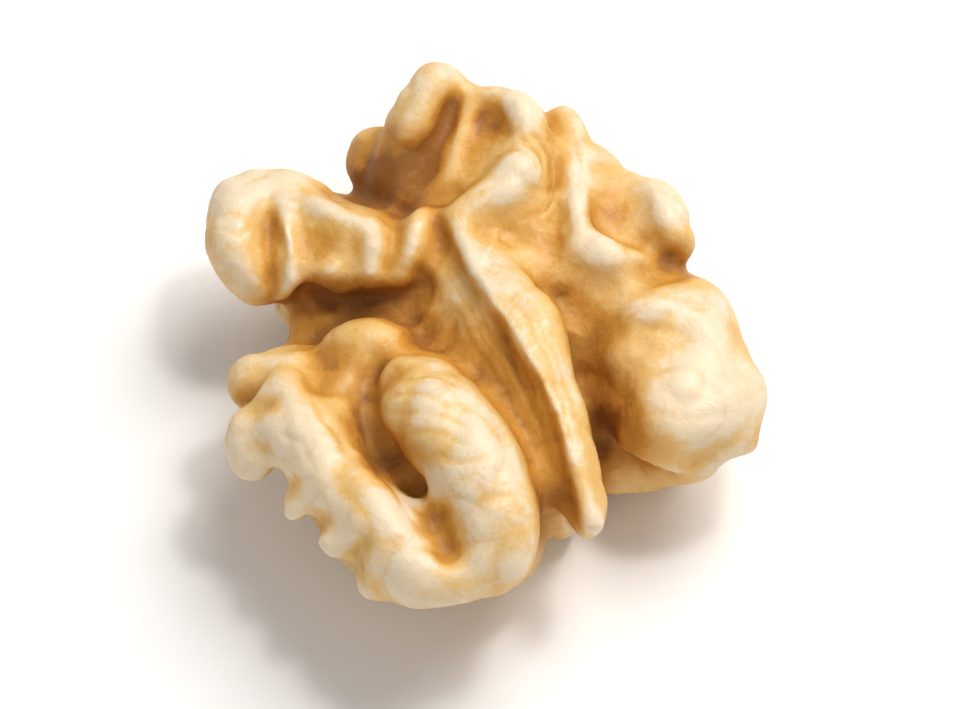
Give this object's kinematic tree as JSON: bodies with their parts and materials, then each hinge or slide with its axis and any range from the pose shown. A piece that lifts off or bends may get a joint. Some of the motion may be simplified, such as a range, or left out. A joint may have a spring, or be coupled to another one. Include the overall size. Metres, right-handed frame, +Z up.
{
  "type": "walnut kernel",
  "caption": "Shelled walnut kernel half: four folded lobes round a bladed keel on a rounded, creased back, lying face up.",
  "frame": {"origin": "middle of the bounding box's base, on the surface the kernel rests on", "axes": "+Y along the face from the lower lobes to the upper ones, +X across the face to the right lobe, +Z up out of the face"},
  "size_m": [0.0298, 0.0314, 0.0136],
  "materials": {
    "kernel_skin": "thin waxy seed skin, semi-gloss"
  },
  "bodies": {
    "root": {"kernel": "kernel_skin"}
  },
  "joints": []
}
